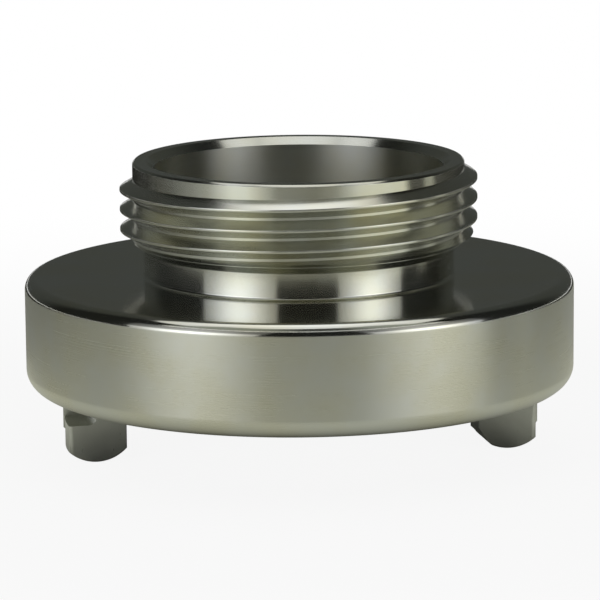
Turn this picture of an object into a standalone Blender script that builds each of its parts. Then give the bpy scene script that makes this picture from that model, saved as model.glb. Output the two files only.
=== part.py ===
"""Storz hose adapter: a male hose thread on one side, a two-lug Storz half on the other.

The metal body is turned and milled from one bar, and a rubber seal sits in its hub.
The axis is Z. The adapter stands on its two lug tips at z = 0, with its thread up.
The lugs lie on the X axis, and all lengths are in metres.
"""

import math

import bmesh
import bpy

MM = 0.001

# Threaded nipple
THREAD_DIAMETER = 50.55 * MM      # over the crests, a 1-1/2 inch fire hose thread
THREAD_PITCH = 2.822 * MM         # nine turns to the inch, right-handed
THREAD_START_DEPTH = 1.73 * MM    # end face down to the middle of the first crest
THREAD_START_AZIMUTH = 93.0       # degrees, where the blunt first turn begins
THREAD_LENGTH = 12.40 * MM        # end face to the neck, with the relief's cone
NIPPLE_WALL = 2.99 * MM           # between the bore and the thread's root
BORE_CHAMFER = 1.05 * MM
RIM_CHAMFER = 0.30 * MM
NECK_WALL = 1.55 * MM             # between the bore and the thread relief
NECK_LENGTH = 3.80 * MM
NECK_FILLET = 0.45 * MM
RELIEF_ANGLE = 55.0               # degrees between the relief's cone and the axis

# Hub and seal, outwards from the bore
SEAL_SETBACK = 0.10 * MM          # the seal's bore is this much wider than the adapter's
SEAL_MOUTH_WALL = 1.65 * MM       # radial thickness of the seal's sealing lip
SEAL_FOOT_STEP = 0.70 * MM        # how far the seal's foot stands out into its undercut
SEAL_GAP = 0.30 * MM
HUB_WALL = 1.40 * MM              # metal left outside the undercut
SEAL_LIP_DEPTH = 2.20 * MM        # coupling face to the undercut that holds the foot
SEAL_FOOT_HEIGHT = 2.20 * MM
SEAL_PROUD = 0.70 * MM            # how far the seal stands out of the coupling face
SEAL_BEAD_RADIUS = 0.60 * MM

# Lugs, outwards from the hub and downwards from the coupling face
RUNNING_CLEARANCE = 0.70 * MM     # between a lug of the other half and what it slides past
SHANK_DEPTH = 4.30 * MM           # radial thickness of a lug above its hook
HOOK_DEPTH = 4.00 * MM            # radial depth of the hook's groove
HOOK_HEIGHT = 4.70 * MM           # coupling face down to the hook's lip
HOOK_THICKNESS = 5.40 * MM        # the hook's lip down to the tip
HOOK_FILLET = 1.20 * MM
LUG_WIDTH = 8.20 * MM             # along the circumference, at the lug's middle
LUG_TIP_ROUNDING = 1.75 * MM      # the tip's radius is this much over half the lug's depth
LUG_TIP_SHIFT = 0.10 * MM         # the tip's middle lies this far outward of the lug's
LUG_STOP_WIDTH = 2.20 * MM        # solid end of the hook, along the circumference
LUG_STOP_RAISE = 0.25 * MM        # how far the stop stands out past the hook's lip
LUG_STOP_DROP = 1.80 * MM         # how far the stop's raised face runs below the hook's lip
POST_SETBACK = 0.80 * MM          # coupling face up to the post that carries a lug

# Ledge and pocket that take the other half's lugs
LEDGE_PLAY = 0.50 * MM            # the ledge is this much thinner than the hook is high
POCKET_PLAY = 0.90 * MM           # above the tip of a lug in the pocket
POCKET_MARGIN = 0.60 * MM         # pocket wall behind the edge of the entry windows
WINDOW_PLAY = 4.60 * MM           # on each side of a lug that goes in
WINDOW_AZIMUTH = 140.0            # degrees from a lug to the middle of the window
EDGE_BREAK = 0.50 * MM

# Flange round the pocket
RIM_WALL = 3.75 * MM              # between the pocket and the flange's side
PLATE_THICKNESS = 4.70 * MM       # above the pocket
TOP_EDGE_RADIUS = 1.70 * MM
BOTTOM_EDGE_RADIUS = 2.70 * MM

# Facets
SEGMENTS = 64
ROUND_STEPS = 4
TIP_STEPS = 9                     # odd, so that a flat land lies at the very tip

# Radii that follow, outwards from the axis
THREAD_CREST_RADIUS = THREAD_DIAMETER / 2
THREAD_DEPTH = 0.75 * THREAD_PITCH * math.sin(math.radians(60))
THREAD_ROOT_RADIUS = THREAD_CREST_RADIUS - THREAD_DEPTH
BORE_RADIUS = THREAD_ROOT_RADIUS - NIPPLE_WALL
NECK_RADIUS = BORE_RADIUS + NECK_WALL

SEAL_BORE_RADIUS = BORE_RADIUS + SEAL_SETBACK
SEAL_MOUTH_RADIUS = SEAL_BORE_RADIUS + SEAL_MOUTH_WALL
SEAL_FOOT_RADIUS = SEAL_MOUTH_RADIUS + SEAL_FOOT_STEP
HUB_RADIUS = SEAL_FOOT_RADIUS + SEAL_GAP + HUB_WALL

LUG_INNER_RADIUS = HUB_RADIUS + RUNNING_CLEARANCE
HOOK_RADIUS = LUG_INNER_RADIUS + SHANK_DEPTH
LUG_LIP_RADIUS = HOOK_RADIUS + HOOK_DEPTH
LUG_STOP_RADIUS = LUG_LIP_RADIUS + LUG_STOP_RAISE
LUG_MIDDLE_RADIUS = (LUG_INNER_RADIUS + LUG_LIP_RADIUS) / 2
LUG_TIP_RADIUS = (SHANK_DEPTH + HOOK_DEPTH) / 2 + LUG_TIP_ROUNDING

LEDGE_RADIUS = HOOK_RADIUS + RUNNING_CLEARANCE
WINDOW_RADIUS = LUG_STOP_RADIUS + RUNNING_CLEARANCE
POCKET_RADIUS = WINDOW_RADIUS + POCKET_MARGIN
FLANGE_RADIUS = POCKET_RADIUS + RIM_WALL

# Heights that follow, upwards from the lug tips
STOP_Z = HOOK_THICKNESS - LUG_STOP_DROP
HOOK_Z = HOOK_THICKNESS
FACE_Z = HOOK_Z + HOOK_HEIGHT
POST_Z = FACE_Z + POST_SETBACK
SEAL_SEAT_Z = FACE_Z + SEAL_LIP_DEPTH + SEAL_FOOT_HEIGHT + 2 * SEAL_GAP
LEDGE_TOP_Z = FACE_Z + HOOK_HEIGHT - LEDGE_PLAY
POCKET_FLOOR_Z = 2 * FACE_Z + POCKET_PLAY
FLANGE_TOP_Z = POCKET_FLOOR_Z + PLATE_THICKNESS
NECK_TOP_Z = FLANGE_TOP_Z + NECK_LENGTH
END_Z = NECK_TOP_Z + THREAD_LENGTH

# How far a joined piece reaches into its neighbour, and a cutter past what it cuts
OVERLAP = 1.00 * MM
THREAD_SINK = THREAD_PITCH / 14
THREAD_RUNOUT_STEP = 0.05 * MM
MERGE_DISTANCE = 0.0001 * MM      # points of the cut mesh that count as one


def clear_scene():
    """Remove every object, so that the model starts from nothing."""
    for item in list(bpy.data.objects):
        bpy.data.objects.remove(item, do_unlink=True)


def metal(name):
    """Machined stainless steel."""
    finish = bpy.data.materials.new(name)
    finish.use_nodes = True
    shader = finish.node_tree.nodes["Principled BSDF"]
    shader.inputs["Base Color"].default_value = (0.60, 0.61, 0.56, 1.0)
    shader.inputs["Metallic"].default_value = 1.0
    shader.inputs["Roughness"].default_value = 0.24
    finish.diffuse_color = (0.60, 0.61, 0.56, 1.0)
    return finish


def rubber(name):
    """Black moulded rubber."""
    finish = bpy.data.materials.new(name)
    finish.use_nodes = True
    shader = finish.node_tree.nodes["Principled BSDF"]
    shader.inputs["Base Color"].default_value = (0.025, 0.025, 0.025, 1.0)
    shader.inputs["Metallic"].default_value = 0.0
    shader.inputs["Roughness"].default_value = 0.62
    finish.diffuse_color = (0.025, 0.025, 0.025, 1.0)
    return finish


def arc(centre_r, centre_z, radius, start, end, steps=ROUND_STEPS):
    """Points (r, z) on an arc, with its angles in degrees from the outward direction."""
    points = []
    for step in range(steps + 1):
        angle = math.radians(start + (end - start) * step / steps)
        points.append((centre_r + radius * math.cos(angle), centre_z + radius * math.sin(angle)))
    return points


def place(r, z, azimuth):
    """The point at a radius, a height and an azimuth in degrees."""
    angle = math.radians(azimuth)
    return (r * math.cos(angle), r * math.sin(angle), z)


def new_object(name, mesh_data, material=None):
    """Turn a bmesh into an object of its own, with its faces pointing out."""
    bmesh.ops.recalc_face_normals(mesh_data, faces=mesh_data.faces)
    mesh = bpy.data.meshes.new(name)
    mesh_data.to_mesh(mesh)
    mesh_data.free()
    if material:
        mesh.materials.append(material)
    item = bpy.data.objects.new(name, mesh)
    bpy.context.scene.collection.objects.link(item)
    return item


def turned(name, outline, material=None):
    """A full turn of a closed outline of (r, z) points round the axis."""
    work = bmesh.new()
    rings = []
    for segment in range(SEGMENTS):
        azimuth = 360.0 * segment / SEGMENTS
        rings.append([work.verts.new(place(r, z, azimuth)) for r, z in outline])
    count = len(outline)
    for segment in range(SEGMENTS):
        here, there = rings[segment], rings[(segment + 1) % SEGMENTS]
        for point in range(count):
            after = (point + 1) % count
            work.faces.new((here[point], there[point], there[after], here[after]))
    return new_object(name, work, material)


def swept(name, sections, material=None):
    """A closed solid through a row of like sections, each a list of points in space."""
    work = bmesh.new()
    rings = [[work.verts.new(point) for point in section] for section in sections]
    for here, there in zip(rings, rings[1:]):
        for point in range(len(here)):
            after = (point + 1) % len(here)
            work.faces.new((here[point], there[point], there[after], here[after]))
    work.faces.new(rings[0])
    work.faces.new(rings[-1])
    return new_object(name, work, material)


def sector(name, outline, start, end, steps):
    """Part of a turn of an outline of (r, z) points, between two azimuths in degrees."""
    sections = []
    for step in range(steps + 1):
        azimuth = start + (end - start) * step / steps
        sections.append([place(r, z, azimuth) for r, z in outline])
    return swept(name, sections)


def combine(item, tool, operation):
    """Join a piece to the solid or cut it away, and remove the piece."""
    step = item.modifiers.new(tool.name, "BOOLEAN")
    step.operation = operation
    step.solver = "EXACT"
    step.object = tool
    with bpy.context.temp_override(object=item, active_object=item):
        bpy.ops.object.modifier_apply(modifier=step.name)
    bpy.data.objects.remove(tool, do_unlink=True)


def finish_mesh(item):
    """Tidy the cut mesh and shade it smooth between its real edges."""
    work = bmesh.new()
    work.from_mesh(item.data)
    bmesh.ops.remove_doubles(work, verts=work.verts, dist=MERGE_DISTANCE)
    bmesh.ops.dissolve_degenerate(work, edges=work.edges, dist=MERGE_DISTANCE)
    bmesh.ops.triangulate(work, faces=[face for face in work.faces if len(face.verts) > 4])
    bmesh.ops.recalc_face_normals(work, faces=work.faces)
    work.to_mesh(item.data)
    work.free()
    item.data.shade_smooth()
    item.data.set_sharp_from_angle(angle=math.radians(28))


def relief_height(radius):
    """Height of the relief's cone at a radius."""
    rise = (radius - NECK_RADIUS) / math.tan(math.radians(RELIEF_ANGLE))
    return NECK_TOP_Z + rise


def body_outline():
    """Half section of the turned body, from the seal's seat up the bore and round."""
    top, bottom = TOP_EDGE_RADIUS, BOTTOM_EDGE_RADIUS
    outline = [
        (BORE_RADIUS, SEAL_SEAT_Z),
        (BORE_RADIUS, END_Z - BORE_CHAMFER),
        (BORE_RADIUS + BORE_CHAMFER, END_Z),
        (THREAD_ROOT_RADIUS - RIM_CHAMFER, END_Z),
        (THREAD_ROOT_RADIUS, END_Z - RIM_CHAMFER),
        (THREAD_ROOT_RADIUS, relief_height(THREAD_ROOT_RADIUS)),
        (NECK_RADIUS, NECK_TOP_Z),
    ]
    outline += arc(NECK_RADIUS + NECK_FILLET, FLANGE_TOP_Z + NECK_FILLET, NECK_FILLET, 180, 270, 2)
    outline += arc(FLANGE_RADIUS - top, FLANGE_TOP_Z - top, top, 90, 0)
    outline += arc(FLANGE_RADIUS - bottom, FACE_Z + bottom, bottom, 0, -90)
    outline += [
        (LEDGE_RADIUS + EDGE_BREAK, FACE_Z),
        (LEDGE_RADIUS, FACE_Z + EDGE_BREAK),
        (LEDGE_RADIUS, LEDGE_TOP_Z),
        (POCKET_RADIUS, LEDGE_TOP_Z),
        (POCKET_RADIUS, POCKET_FLOOR_Z),
        (HUB_RADIUS, POCKET_FLOOR_Z),
        (HUB_RADIUS, FACE_Z + EDGE_BREAK),
        (HUB_RADIUS - EDGE_BREAK, FACE_Z),
        (SEAL_MOUTH_RADIUS + SEAL_GAP, FACE_Z),
        (SEAL_MOUTH_RADIUS + SEAL_GAP, FACE_Z + SEAL_LIP_DEPTH),
        (SEAL_FOOT_RADIUS + SEAL_GAP, FACE_Z + SEAL_LIP_DEPTH),
        (SEAL_FOOT_RADIUS + SEAL_GAP, SEAL_SEAT_Z),
    ]
    return outline


def thread_ridge():
    """The helical thread with 60 degree flanks, from its blunt start to the relief."""
    half_crest = THREAD_PITCH / 16
    flank = math.tan(math.radians(30))
    sunk_radius = THREAD_ROOT_RADIUS - THREAD_SINK
    half_foot = half_crest + (THREAD_CREST_RADIUS - sunk_radius) * flank
    start_z = END_Z - THREAD_START_DEPTH
    end_z = NECK_TOP_Z - half_foot
    steps = math.ceil((start_z - end_z) / THREAD_PITCH * SEGMENTS)
    sections = []
    for step in range(steps + 1):
        azimuth = THREAD_START_AZIMUTH - 360.0 * step / SEGMENTS
        z = start_z - THREAD_PITCH * step / SEGMENTS
        sections.append([
            place(sunk_radius, z + half_foot, azimuth),
            place(THREAD_CREST_RADIUS, z + half_crest, azimuth),
            place(THREAD_CREST_RADIUS, z - half_crest, azimuth),
            place(sunk_radius, z - half_foot, azimuth),
        ])
    ridge = swept("thread_ridge", sections)
    inner = sunk_radius - OVERLAP
    outer = THREAD_CREST_RADIUS + OVERLAP
    relief = turned("thread_relief", [
        (inner, relief_height(inner) + THREAD_RUNOUT_STEP),
        (outer, relief_height(outer) + THREAD_RUNOUT_STEP),
        (outer, FLANGE_TOP_Z - OVERLAP),
        (inner, FLANGE_TOP_Z - OVERLAP),
    ])
    combine(ridge, relief, "DIFFERENCE")
    return ridge


def degrees_along(length):
    """Angle in degrees that a length takes up along the circle through the lugs' middles."""
    return math.degrees(length / LUG_MIDDLE_RADIUS)


def lug_tip():
    """The rounded tip's outline, from the lip to the inner face, with a flat land at z = 0."""
    middle = LUG_MIDDLE_RADIUS + LUG_TIP_SHIFT
    lip = math.degrees(math.acos((LUG_LIP_RADIUS - middle) / LUG_TIP_RADIUS))
    inner = math.degrees(math.acos((LUG_INNER_RADIUS - middle) / LUG_TIP_RADIUS))
    points = arc(middle, LUG_TIP_RADIUS, LUG_TIP_RADIUS, -lip, -inner, TIP_STEPS)
    low = min(z for r, z in points)
    return [(r, z - low) for r, z in points]


def lug(number):
    """A hooked lug with the post that carries it through the pocket."""
    azimuth = 180.0 * number
    half = degrees_along(LUG_WIDTH / 2)
    stop = degrees_along(LUG_STOP_WIDTH)
    post_inner = HUB_RADIUS - HUB_WALL / 2
    post_outer = POCKET_RADIUS + RIM_WALL / 2
    post_top = POCKET_FLOOR_Z + PLATE_THICKNESS / 2
    outline = [
        (post_inner, post_top),
        (post_outer, post_top),
        (post_outer, POST_Z),
        (LUG_STOP_RADIUS, POST_Z),
        (LUG_STOP_RADIUS, STOP_Z + LUG_STOP_RAISE),
        (LUG_LIP_RADIUS, STOP_Z),
    ]
    outline += lug_tip()
    outline += [
        (LUG_INNER_RADIUS, POST_Z),
        (post_inner, POST_Z),
    ]
    block = sector(f"lug_{number}", outline, azimuth - half, azimuth + half, 5)
    hook_top = FACE_Z + POST_SETBACK / 2
    hook = [(HOOK_RADIUS, hook_top)]
    hook += arc(HOOK_RADIUS + HOOK_FILLET, HOOK_Z + HOOK_FILLET, HOOK_FILLET, 180, 270, 3)
    hook += [
        (LUG_LIP_RADIUS, HOOK_Z),
        (LUG_LIP_RADIUS, -OVERLAP),
        (LUG_STOP_RADIUS + OVERLAP, -OVERLAP),
        (LUG_STOP_RADIUS + OVERLAP, hook_top),
    ]
    tool = sector(f"hook_tool_{number}", hook, azimuth - half + stop, azimuth + half + stop, 4)
    combine(block, tool, "DIFFERENCE")
    return block


def window_tool(number):
    """Cutter for an opening in the ledge, where a lug of the other half goes in."""
    middle = WINDOW_AZIMUTH + 180.0 * number
    outline = [
        (LEDGE_RADIUS - OVERLAP, FACE_Z - OVERLAP),
        (WINDOW_RADIUS, FACE_Z - OVERLAP),
        (WINDOW_RADIUS, LEDGE_TOP_Z + OVERLAP),
        (LEDGE_RADIUS - OVERLAP, LEDGE_TOP_Z + OVERLAP),
    ]
    half = degrees_along(LUG_WIDTH / 2 + WINDOW_PLAY)
    return sector(f"window_tool_{number}", outline, middle - half, middle + half, 6)


def adapter_body(material):
    """The one-piece metal body: nipple, flange, pocket, ledge and lugs."""
    body = turned("adapter_body", body_outline(), material)
    combine(body, thread_ridge(), "UNION")
    for number in range(2):
        combine(body, window_tool(number), "DIFFERENCE")
    for number in range(2):
        combine(body, lug(number), "UNION")
    finish_mesh(body)
    return body


def storz_seal(material):
    """The rubber ring that seals against the other half, held by its foot."""
    face_z = FACE_Z - SEAL_PROUD
    foot_z = FACE_Z + SEAL_LIP_DEPTH + SEAL_GAP
    bead = SEAL_BEAD_RADIUS
    outline = arc(SEAL_MOUTH_RADIUS - bead, face_z + bead, bead, -90, 0, 3)
    outline += [
        (SEAL_MOUTH_RADIUS, foot_z),
        (SEAL_FOOT_RADIUS, foot_z),
        (SEAL_FOOT_RADIUS, foot_z + SEAL_FOOT_HEIGHT),
        (SEAL_BORE_RADIUS, foot_z + SEAL_FOOT_HEIGHT),
    ]
    outline += arc(SEAL_BORE_RADIUS + bead, face_z + bead, bead, 180, 270, 3)
    seal = turned("storz_seal", outline, material)
    finish_mesh(seal)
    return seal


clear_scene()
adapter_body(metal("machined_steel"))
storz_seal(rubber("seal_rubber"))
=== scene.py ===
"""The looks of the hose adapter: a turned stainless body with a real thread, and its rubber seal.

Everything is in metres, in the frame's own axes: the adapter's axis is Z, its lugs lie on X,
and it stands on its two lug tips at z = 0.
"""

import math

import bmesh
import bpy
from mathutils import Matrix, Vector


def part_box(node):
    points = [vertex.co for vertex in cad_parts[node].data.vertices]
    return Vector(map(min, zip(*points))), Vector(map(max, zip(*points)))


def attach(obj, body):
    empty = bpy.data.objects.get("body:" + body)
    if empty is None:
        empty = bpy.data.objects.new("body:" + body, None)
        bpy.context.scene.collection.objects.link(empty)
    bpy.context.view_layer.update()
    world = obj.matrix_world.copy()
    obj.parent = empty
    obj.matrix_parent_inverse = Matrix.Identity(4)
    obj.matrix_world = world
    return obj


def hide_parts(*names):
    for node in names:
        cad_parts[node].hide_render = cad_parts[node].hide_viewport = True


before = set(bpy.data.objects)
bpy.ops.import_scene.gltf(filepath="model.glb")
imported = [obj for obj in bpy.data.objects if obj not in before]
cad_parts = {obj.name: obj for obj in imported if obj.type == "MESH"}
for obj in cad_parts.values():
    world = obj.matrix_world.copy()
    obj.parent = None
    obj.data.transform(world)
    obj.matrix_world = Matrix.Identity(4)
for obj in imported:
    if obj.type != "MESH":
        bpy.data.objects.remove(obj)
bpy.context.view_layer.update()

MM = 0.001

# Sizes of the body that the frame gives
BODY_LOW, BODY_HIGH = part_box("adapter_body")
FLANGE_RADIUS = (BODY_HIGH.x - BODY_LOW.x) / 2
END_Z = BODY_HIGH.z

# Threaded nipple
THREAD_PITCH = 2.822 * MM
THREAD_ANGLE = 60.0               # degrees between the flanks
THREAD_DEPTH_SHARE = 0.75         # of the depth that a thread with sharp edges would have
THREAD_CREST_RADIUS = 25.275 * MM
THREAD_DEPTH = THREAD_DEPTH_SHARE * THREAD_PITCH * math.sin(math.radians(THREAD_ANGLE))
THREAD_ROOT_RADIUS = THREAD_CREST_RADIUS - THREAD_DEPTH
THREAD_START_DEPTH = 1.73 * MM    # end face down to the middle of the first crest
THREAD_START_AZIMUTH = 93.0       # degrees, where the blunt first turn begins
THREAD_LENGTH = 12.40 * MM        # end face to the neck, with the relief's cone
CREST_ROUNDING = 0.05 * MM
NIPPLE_WALL = 2.99 * MM           # between the bore and the thread's root
BORE_RADIUS = THREAD_ROOT_RADIUS - NIPPLE_WALL
BORE_CHAMFER = 1.05 * MM
RIM_CHAMFER = 0.30 * MM
NECK_WALL = 1.55 * MM             # between the bore and the thread relief
NECK_RADIUS = BORE_RADIUS + NECK_WALL
NECK_LENGTH = 3.80 * MM
NECK_FILLET = 0.45 * MM
RELIEF_ANGLE = 55.0               # degrees between the relief's cone and the axis
BORE_ROUNDING = 0.06 * MM
RIM_ROUNDING = 0.08 * MM
RELIEF_ROUNDING = 0.20 * MM

# Hub and seal
SEAL_SETBACK = 0.10 * MM          # the seal's bore is this much wider than the adapter's
SEAL_MOUTH_WALL = 1.65 * MM
SEAL_FOOT_STEP = 0.70 * MM
SEAL_GAP = 0.30 * MM
SEAL_LIP_DEPTH = 2.20 * MM        # coupling face to the undercut that holds the foot
SEAL_FOOT_HEIGHT = 2.20 * MM
SEAL_PROUD = 0.70 * MM            # how far the seal stands out of the coupling face
SEAL_BEAD_RADIUS = 0.60 * MM
SEAL_ROUNDING = 0.15 * MM
HUB_WALL = 1.40 * MM              # metal left outside the undercut
SEAL_BORE_RADIUS = BORE_RADIUS + SEAL_SETBACK
SEAL_MOUTH_RADIUS = SEAL_BORE_RADIUS + SEAL_MOUTH_WALL
SEAL_FOOT_RADIUS = SEAL_MOUTH_RADIUS + SEAL_FOOT_STEP
HUB_RADIUS = SEAL_FOOT_RADIUS + SEAL_GAP + HUB_WALL

# Lugs
RUNNING_CLEARANCE = 0.70 * MM     # between a lug of the other half and what it slides past
SHANK_DEPTH = 4.30 * MM           # radial thickness of a lug above its hook
HOOK_DEPTH = 4.00 * MM            # radial depth of the hook's groove
HOOK_HEIGHT = 4.70 * MM           # coupling face down to the hook's lip
HOOK_FILLET = 1.20 * MM
LUG_WIDTH = 8.20 * MM             # along the circumference, at the lug's middle
LUG_TIP_ROUNDING = 1.75 * MM      # the tip's radius is this much over half the lug's depth
LUG_TIP_SHIFT = 0.10 * MM         # the tip's middle lies this far outward of the lug's
LUG_STOP_WIDTH = 2.20 * MM        # solid end of the hook, along the circumference
LUG_STOP_RAISE = 0.25 * MM        # how far the stop stands out past the hook's lip
LUG_STOP_DROP = 1.80 * MM         # how far the stop's raised face runs below the hook's lip
STOP_BEVEL = 0.25 * MM            # height of the slope under the stop's raised face
LUG_EDGE_BREAK = 0.30 * MM
LUG_CORNER_ROUNDING = 0.90 * MM
LEAD_HEIGHT = 3.00 * MM           # where the slanted lead on the inner side begins
LEAD_SLOPE = 0.80                 # metres outward for each metre down
LEAD_FADE = 0.25                  # metres less lead for each metre away from the stop's end
POST_SETBACK = 0.80 * MM          # coupling face up to the post that carries a lug
POST_SINK_IN_HUB = 0.70 * MM
POST_SINK_IN_FLANGE = 1.85 * MM
POST_SINK_IN_PLATE = 2.35 * MM
HOOK_TOOL_GAP = 0.40 * MM         # between the hook's cutter and the post
LUG_INNER_RADIUS = HUB_RADIUS + RUNNING_CLEARANCE
HOOK_RADIUS = LUG_INNER_RADIUS + SHANK_DEPTH
LUG_LIP_RADIUS = HOOK_RADIUS + HOOK_DEPTH
LUG_STOP_RADIUS = LUG_LIP_RADIUS + LUG_STOP_RAISE
LUG_MIDDLE_RADIUS = (LUG_INNER_RADIUS + LUG_LIP_RADIUS) / 2
LUG_TIP_RADIUS = (LUG_LIP_RADIUS - LUG_INNER_RADIUS) / 2 + LUG_TIP_ROUNDING
HOOK_Z = 5.40 * MM
STOP_Z = HOOK_Z - LUG_STOP_DROP
FACE_Z = HOOK_Z + HOOK_HEIGHT
POST_Z = FACE_Z + POST_SETBACK

# Coupling side
LEDGE_HEIGHT = 4.20 * MM
POCKET_DEPTH = 11.00 * MM         # coupling face up to the pocket's floor
POCKET_MARGIN = 0.60 * MM         # pocket wall behind the edge of the entry windows
WINDOW_AZIMUTH = 140.0            # degrees from a lug to the middle of the window
WINDOW_PLAY = 4.60 * MM           # on each side of a lug that goes in
EDGE_BREAK = 0.50 * MM
FACE_ROUNDING = 0.10 * MM
LEDGE_ROUNDING = 0.20 * MM
LEDGE_FILLET = 0.50 * MM
POCKET_FILLET = 0.80 * MM
LEDGE_RADIUS = HOOK_RADIUS + RUNNING_CLEARANCE
LEDGE_TOP_Z = FACE_Z + LEDGE_HEIGHT
WINDOW_RADIUS = LUG_STOP_RADIUS + RUNNING_CLEARANCE
POCKET_RADIUS = WINDOW_RADIUS + POCKET_MARGIN
POCKET_FLOOR_Z = FACE_Z + POCKET_DEPTH
SEAL_SEAT_Z = FACE_Z + SEAL_LIP_DEPTH + SEAL_FOOT_HEIGHT + 2 * SEAL_GAP

# Flange
NECK_TOP_Z = END_Z - THREAD_LENGTH
FLANGE_TOP_Z = NECK_TOP_Z - NECK_LENGTH
TOP_EDGE_RADIUS = 1.70 * MM
BOTTOM_EDGE_RADIUS = 2.70 * MM

# Facets
SEGMENTS = 240
ROUND_STEPS = 15
SMALL_ROUND_STEPS = 3
SMALL_ROUNDING = 0.90 * MM        # roundings up to this radius get the small number of steps
TIP_STEPS = 25
END_STEPS = 7
MIDDLE_STEPS = 12
WINDOW_STEPS = 24
HOOK_STEPS = 17
OVERLAP = 1.00 * MM
THREAD_SINK = THREAD_PITCH / 14
THREAD_RUNOUT_STEP = 0.05 * MM
MITRE_LIMIT = 0.5                 # a sharp corner moves in by at most the distance over this
MERGE_DISTANCE = 0.0002 * MM
SMOOTH_ANGLE = 32.0

# Where each finish lies on the body
NIPPLE_FINISH, TOP_FINISH, SIDE_FINISH, COUPLING_FINISH, LUG_FINISH, BORE_FINISH = range(6)
TOP_FACING_DEPTH = 1.50 * MM      # the polished top reaches this far down the edge rounding
LUG_FINISH_MARGIN = 0.05 * MM
NIPPLE_FINISH_MARGIN = 0.02 * MM

# Steel: the numbers of patches and grain are counts to the metre
STEEL = (0.60, 0.61, 0.56)
WARM_PATCH = (0.98, 0.95, 0.85)   # share of the steel's colour that is left in the warmer patches
WARM_PATCH_POSITION = 0.35
PLAIN_POSITION = 0.60
PATCH_SCALE = 90.0
PATCH_DETAIL = 4.0
PATCH_SHARE = 0.5                 # the patches' part in the dullness; the marks have the rest
DULLNESS_RANGE = (0.3, 0.7)
MARK_DETAIL = 3.0
MARK_SHARPNESS = 0.6
RADIAL_HIGHLIGHT = 0.25           # quarter turn, so that highlights cross the turning marks
MILLED_SHADE = 0.92
MILLED_DARK_SHADE = 0.82
MILLED_TONE_POSITIONS = (0.3, 0.7)
MILLED_ROUGHNESS = 0.30
MILLED_ROUGHNESS_SPREAD = 0.2
MILLED_STRETCH = (1.0, 1.0, 0.15)
MILLED_GRAIN_SCALE = 2600.0
MILLED_GRAIN_DETAIL = 3.0
MILLED_GRAIN_STRENGTH = 0.6
MILLED_GRAIN_DEPTH = 0.004 * MM
MILLED_PATCH_SCALE = 220.0

# Rubber
RUBBER_TONES = [(0.40, (0.018, 0.018, 0.018)), (0.75, (0.050, 0.049, 0.047))]
RUBBER_ROUGHNESS = (0.50, 0.75)
RUBBER_BLOOM_SCALE = 160.0
RUBBER_BLOOM_DETAIL = 5.0
RUBBER_GRAIN_SCALE = 1800.0
RUBBER_GRAIN_STRENGTH = 0.5
RUBBER_GRAIN_DEPTH = 0.02 * MM

# Camera, on the photograph's side of the adapter; lens and sensor in millimetres
CAMERA_AZIMUTH = 263.8
CAMERA_ELEVATION = 10.96
CAMERA_DISTANCE = 0.5356
CAMERA_LENS = 226.1
CAMERA_SENSOR = 36.0
CAMERA_ROLL = 0.0089              # radians
CAMERA_NEAR = 0.01
CAMERA_FAR = 20.0
AIM_SIDE = 0.08 * MM
AIM_HEIGHT = 21.7 * MM

# White background and floor
WORLD_FILL = 0.35
FLOOR_SIZE = 6.0
FLOOR_COLOUR = (0.86, 0.86, 0.85, 1.0)
FLOOR_ROUGHNESS = 0.9
FLOOR_GLOW_SHARE = 0.90           # near the adapter, where the rest takes its shadow
SHADOW_INNER = 0.06
SHADOW_OUTER = 0.22

# Softboxes: side angle, elevation, distance, width, height, brightness, colour
LEFT_SOFTBOX = (-45.0, 21.0, 0.95, 1.02, 0.80, 2.25, (0.99, 1.0, 1.04))
RIGHT_SOFTBOX = (54.0, 21.0, 0.95, 0.90, 0.80, 2.25, (0.99, 1.0, 1.04))
OVERHEAD_SOFTBOX = (180.0, 87.0, 1.00, 0.86, 0.86, 0.35, (0.99, 1.0, 1.04))
SOFTBOX_ACROSS = [(0.0, 0.30), (0.5, 1.0), (1.0, 0.30)]
SOFTBOX_UPWARD = [(0.0, 0.70), (0.16, 1.0), (0.38, 1.0), (0.55, 0.30), (1.0, 0.20)]
SOFTBOX_DEPTH = 0.02

# Painted reflection cards, glowing sheets that only the metal's reflections see: rows of radius and
# height in metres, and where they start and end by side angle
WALL_TINT = (0.94, 1.0, 0.92)
TABLE_TINT = (0.985, 1.0, 0.87)
CARD_STEP = 2.0
TABLE_CARD_HEIGHT = 0.00002
TABLE_CARD_RADII = [0.0005, 0.030, 0.035, 0.037, 0.043, 0.046, 0.060, 0.080, 0.085, 0.100, 0.130,
                    0.175, 0.180, 0.200, 0.210, 0.300, 0.400, 0.500, 0.600]
TABLE_CARD_SIDES = (-180, 180)
CURTAIN_ROWS = [(2.2, 0.0), (2.2, 2.4), (1.45, 2.4)]
CURTAIN_SIDES = (76, 290)
CAMERA_CARD_ROWS = [(2.2, 0.0), (2.2, 2.0)]
CAMERA_CARD_SIDES = (-22, 33)
CEILING_CARD_ROWS = [(2.2, 2.4), (0.75, 2.4)]
CEILING_CARD_SIDES = (-74, 74)
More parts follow.
